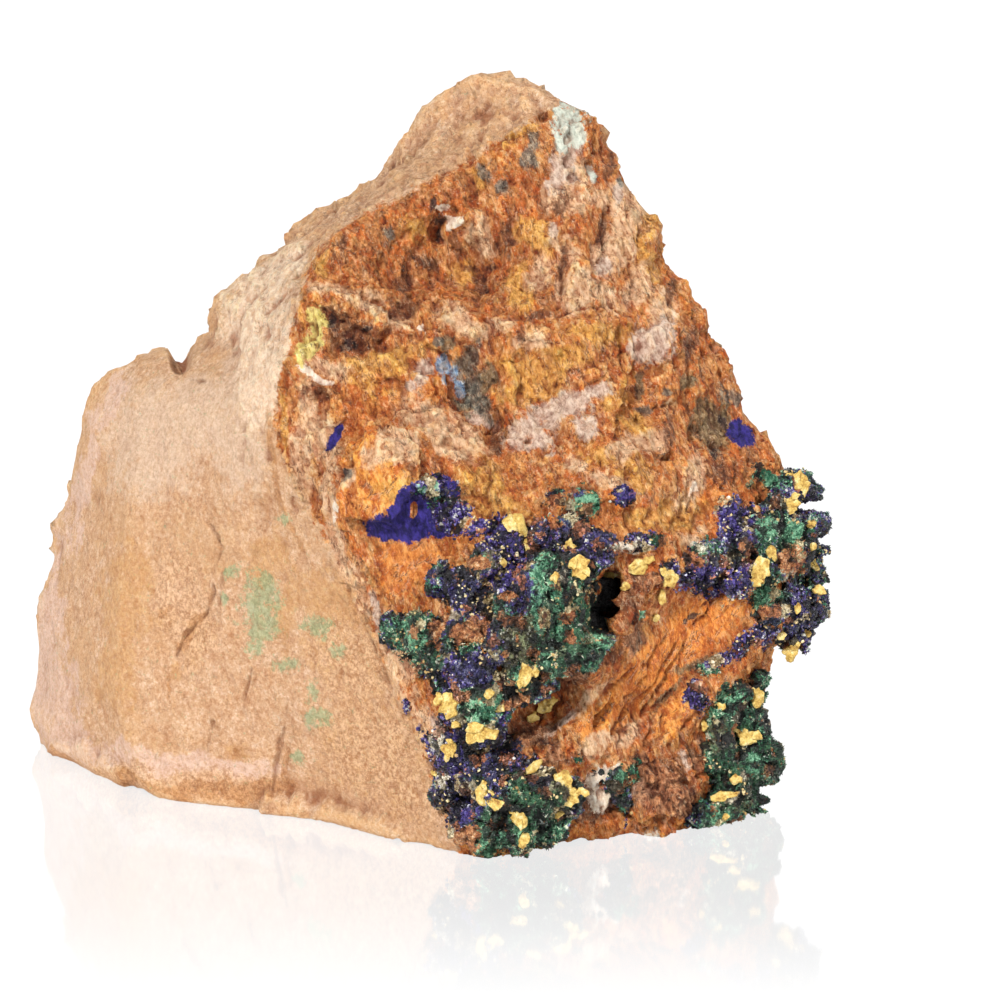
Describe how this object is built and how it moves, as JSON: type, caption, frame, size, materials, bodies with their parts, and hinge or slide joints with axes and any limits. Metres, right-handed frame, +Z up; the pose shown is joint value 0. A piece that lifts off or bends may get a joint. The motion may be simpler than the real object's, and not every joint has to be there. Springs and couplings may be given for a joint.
{
  "type": "malachite specimen",
  "caption": "Mineral specimen: a loose chunk of iron-stained rock with crusts of malachite and azurite grown on its broken front and side.",
  "frame": {"origin": "middle of the whole specimen's footprint, on the ground that it stands on", "axes": "+Z up; -Y towards the viewer of the front; +X to that viewer's right, along the specimen's longest extent"},
  "size_m": [0.1246, 0.0914, 0.108],
  "materials": {
    "stone": "rough, sandy rock; tan on the weathered side, ochre to brown on the broken front",
    "malachite": "fine green crystals with a soft sparkle",
    "azurite": "dark blue to violet crystals with a slight gloss"
  },
  "bodies": {
    "root": {"matrix_rock": "stone", "front_crust": "malachite", "right_crust": "azurite", "right_cluster": "malachite", "malachite_tuft": "malachite"}
  },
  "joints": []
}
